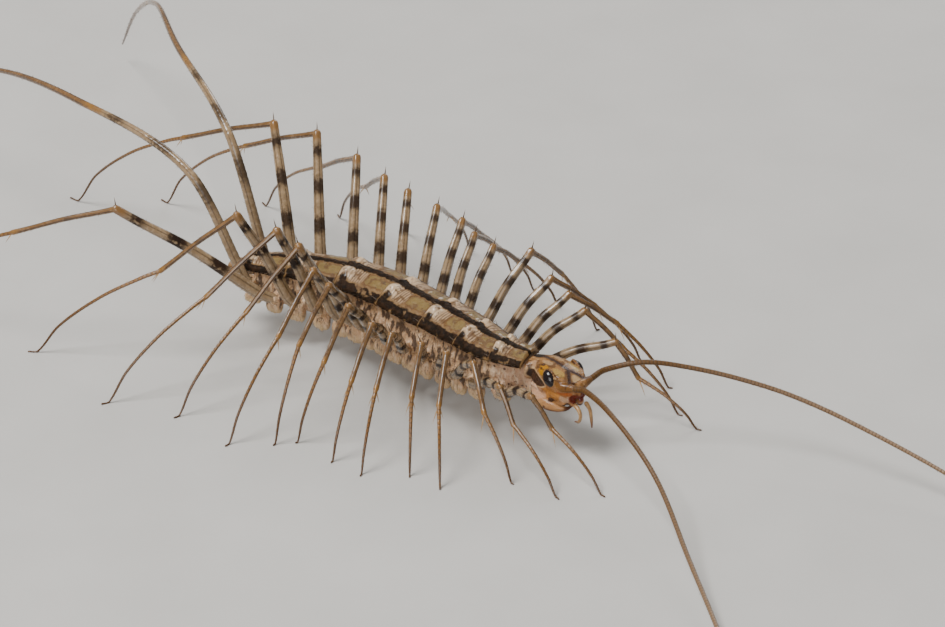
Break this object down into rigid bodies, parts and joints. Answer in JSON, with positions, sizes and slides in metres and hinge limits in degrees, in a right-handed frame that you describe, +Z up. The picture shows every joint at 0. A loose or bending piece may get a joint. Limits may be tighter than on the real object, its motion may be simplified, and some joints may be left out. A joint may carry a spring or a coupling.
{
  "type": "house centipede model",
  "caption": "Life-size still model of a house centipede standing on its feet, with long banded legs, striped plates, dark eyes and sweeping feelers.",
  "frame": {"origin": "middle of the bounding box on the floor that the feet rest on", "axes": "+X the way the animal faces, +Y its left side, +Z up"},
  "size_m": [0.1057, 0.0524, 0.0149],
  "materials": {
    "trunk_shell": "tan, yellow-grey plates with brown-black stripes, satin",
    "head_shell": "pinkish tan with orange cheeks and dark spots, satin",
    "eye": "black, wet gloss",
    "leg_shell": "translucent tan with dark bands, glossy",
    "trailing_leg": "brown, darker bands, satin",
    "feeler": "olive brown fading to pinkish brown, ringed",
    "claw": "amber with a dark red-brown tip",
    "palp": "amber, satin"
  },
  "bodies": {
    "root": {"antenna_left_1": "feeler", "antenna_left_2": "feeler", "antenna_left_3": "feeler", "antenna_right_1": "feeler", "antenna_right_2": "feeler", "antenna_right_3": "feeler", "eye_left": "eye", "eye_right": "eye", "forcipule_left": "claw", "forcipule_right": "claw", "head": "head_shell", "leg_left_01": "leg_shell", "leg_left_02": "leg_shell", "leg_left_03": "leg_shell", "leg_left_04": "leg_shell", "leg_left_05": "leg_shell", "leg_left_06": "leg_shell", "leg_left_07": "leg_shell", "leg_left_08": "leg_shell", "leg_left_09": "leg_shell", "leg_left_10": "leg_shell", "leg_left_11": "leg_shell", "leg_left_12_1": "leg_shell", "leg_left_12_2": "leg_shell", "leg_left_13_1": "leg_shell", "leg_left_13_2": "leg_shell", "leg_left_14_1": "leg_shell", "leg_left_14_2": "leg_shell", "leg_left_15_1": "trailing_leg", "leg_left_15_2": "trailing_leg", "leg_left_15_3": "trailing_leg", "leg_right_01": "leg_shell", "leg_right_02": "leg_shell", "leg_right_03": "leg_shell", "leg_right_04": "leg_shell", "leg_right_05": "leg_shell", "leg_right_06": "leg_shell", "leg_right_07": "leg_shell", "leg_right_08": "leg_shell", "leg_right_09": "leg_shell", "leg_right_10": "leg_shell", "leg_right_11": "leg_shell", "leg_right_12": "leg_shell", "leg_right_13_1": "leg_shell", "leg_right_13_2": "leg_shell", "leg_right_14_1": "leg_shell", "leg_right_14_2": "leg_shell", "leg_right_15_1": "trailing_leg", "leg_right_15_2": "trailing_leg", "leg_right_15_3": "trailing_leg", "palp_left": "palp", "palp_right": "palp", "trunk_1": "trunk_shell", "trunk_2": "trunk_shell", "trunk_3": "trunk_shell", "trunk_4": "trunk_shell", "trunk_5": "trunk_shell", "trunk_6": "trunk_shell", "trunk_7": "trunk_shell", "trunk_8": "trunk_shell"}
  },
  "joints": []
}
